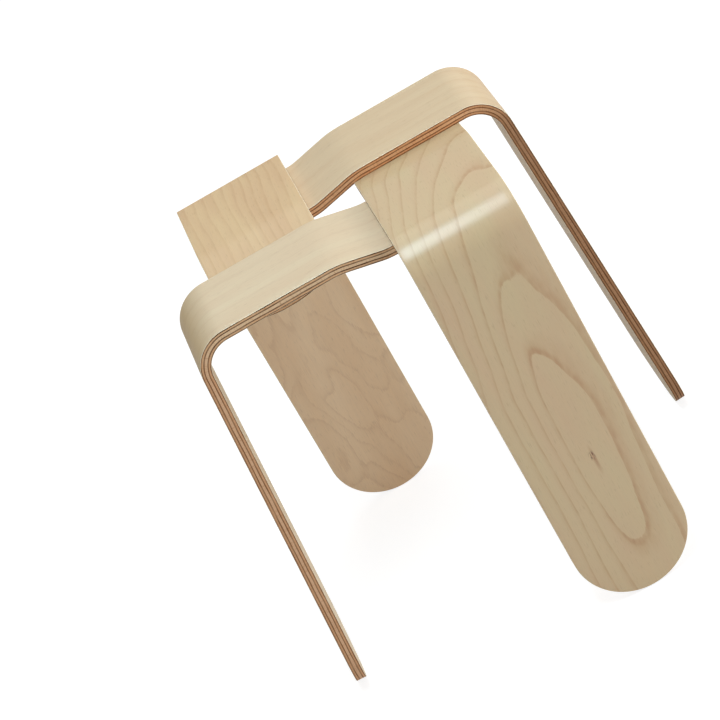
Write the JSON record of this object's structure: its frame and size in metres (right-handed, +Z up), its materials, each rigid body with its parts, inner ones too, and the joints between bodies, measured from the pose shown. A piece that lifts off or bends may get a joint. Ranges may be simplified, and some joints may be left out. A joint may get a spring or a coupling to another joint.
{
  "type": "stacking stool",
  "caption": "Stacking stool of bent plywood strips, each a splayed leg and one side of the seat, lapped in a pinwheel round a square grip hole.",
  "frame": {"origin": "on the floor, under the middle of the square grip hole", "axes": "+Z up through the middle of the seat, -Y towards the strip whose leg is called front, +X to the right"},
  "size_m": [0.4578, 0.4578, 0.45],
  "materials": {
    "plywood": "birch plywood, clear satin lacquer",
    "screw": "zinc plated"
  },
  "bodies": {
    "root": {"strip_front": "plywood", "strip_right": "plywood", "strip_back": "plywood", "strip_left": "plywood", "screws_front_right": "screw", "screws_back_right": "screw", "screws_back_left": "screw", "screws_front_left": "screw"}
  },
  "joints": []
}
